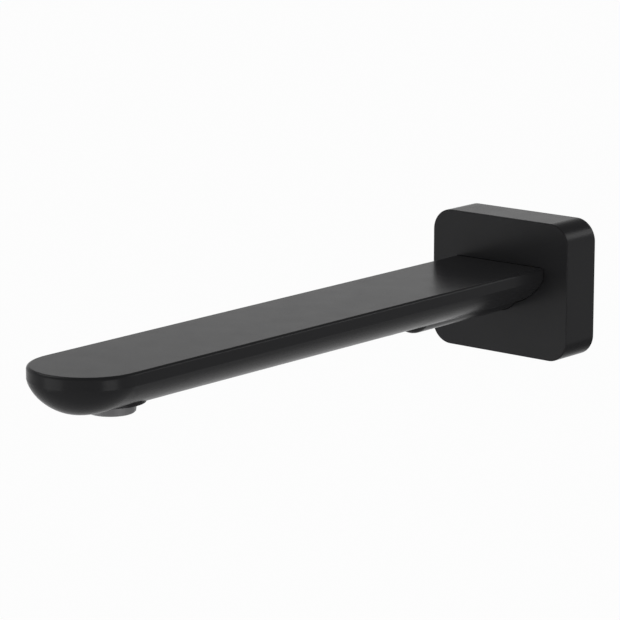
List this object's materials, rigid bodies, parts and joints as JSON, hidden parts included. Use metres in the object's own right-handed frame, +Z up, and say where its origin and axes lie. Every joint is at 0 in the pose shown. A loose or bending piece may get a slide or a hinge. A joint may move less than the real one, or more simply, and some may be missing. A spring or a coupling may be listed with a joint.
{
  "type": "bath spout",
  "caption": "Wall-mounted bath spout with a flat top, a round nose, an aerator under the tip and a rounded rectangular cover plate.",
  "frame": {"origin": "on the inlet axis in the plane of the wall, at the centre of the cover plate's rear", "axes": "+X right along the wall as a bather faces it, +Y into the wall along the inlet thread, +Z up"},
  "size_m": [0.0606, 0.2633, 0.0502],
  "materials": {
    "black_coated_brass": "matt",
    "black_rubber": "matt",
    "grey_foam": "matt",
    "bare_brass": "turned",
    "stainless_steel": "satin",
    "grey_acetal": "satin",
    "white_acetal": "satin"
  },
  "bodies": {
    "root": {"spout_body": "black_coated_brass", "cover_plate": "black_coated_brass", "plate_grip_ring": "black_rubber", "plate_gasket": "grey_foam", "wall_spigot": "bare_brass", "spigot_washer": "black_rubber", "spigot_o_ring_1": "black_rubber", "spigot_o_ring_2": "black_rubber", "grub_screw": "stainless_steel", "aerator_shell": "grey_acetal", "stream_straightener": "grey_acetal", "mixing_screen_1": "stainless_steel", "mixing_screen_2": "stainless_steel", "jet_plate": "white_acetal", "flow_regulator": "white_acetal", "flow_regulator_o_ring": "black_rubber", "inlet_strainer": "white_acetal", "aerator_washer": "black_rubber"}
  },
  "joints": []
}
